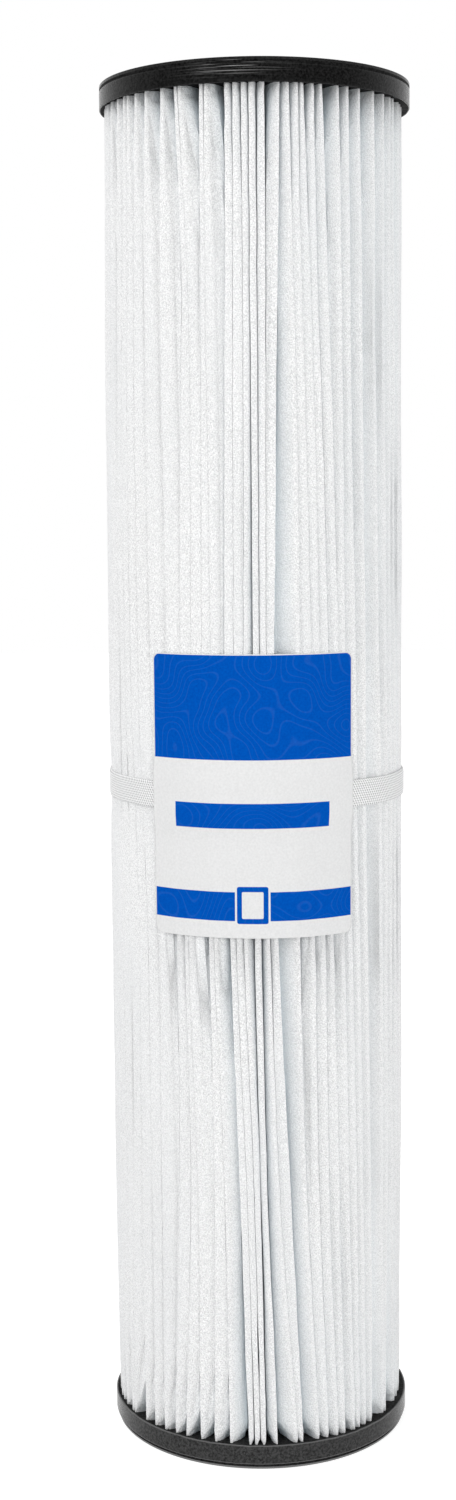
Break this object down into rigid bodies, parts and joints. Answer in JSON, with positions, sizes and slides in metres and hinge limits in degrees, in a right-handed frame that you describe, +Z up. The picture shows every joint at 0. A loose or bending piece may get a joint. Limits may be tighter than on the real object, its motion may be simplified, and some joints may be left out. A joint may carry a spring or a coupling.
{
  "type": "pleated filter cartridge",
  "caption": "Tall pleated water filter cartridge: folded white non-woven sheet round a perforated core, black cast end caps with a central hole, woven belly band and wrap label.",
  "frame": {"origin": "centre of the bottom cap's face, on the cartridge's axis", "axes": "+Z up along the cartridge's axis to the top cap, -Y towards the label"},
  "size_m": [0.1142, 0.1142, 0.508],
  "materials": {
    "cap_plastisol": "satin black cast PVC plastisol, glossy where it set in the open",
    "filter_nonwoven": "white spunbond polyester, fine crinkle, folded in pleats",
    "hot_melt": "milky hot-melt glue",
    "core_polypropylene": "natural white moulded polypropylene",
    "woven_tape": "white woven polyester tape with a diagonal rib",
    "label_paper": "coated white paper printed in one blue"
  },
  "bodies": {
    "root": {"bottom_end_cap": "cap_plastisol", "top_end_cap": "cap_plastisol", "pleated_media": "filter_nonwoven", "side_seam": "hot_melt", "core_lower": "core_polypropylene", "core_upper": "core_polypropylene", "core_coupling": "core_polypropylene", "belly_band": "woven_tape", "band_glue": "hot_melt", "label": "label_paper"}
  },
  "joints": []
}
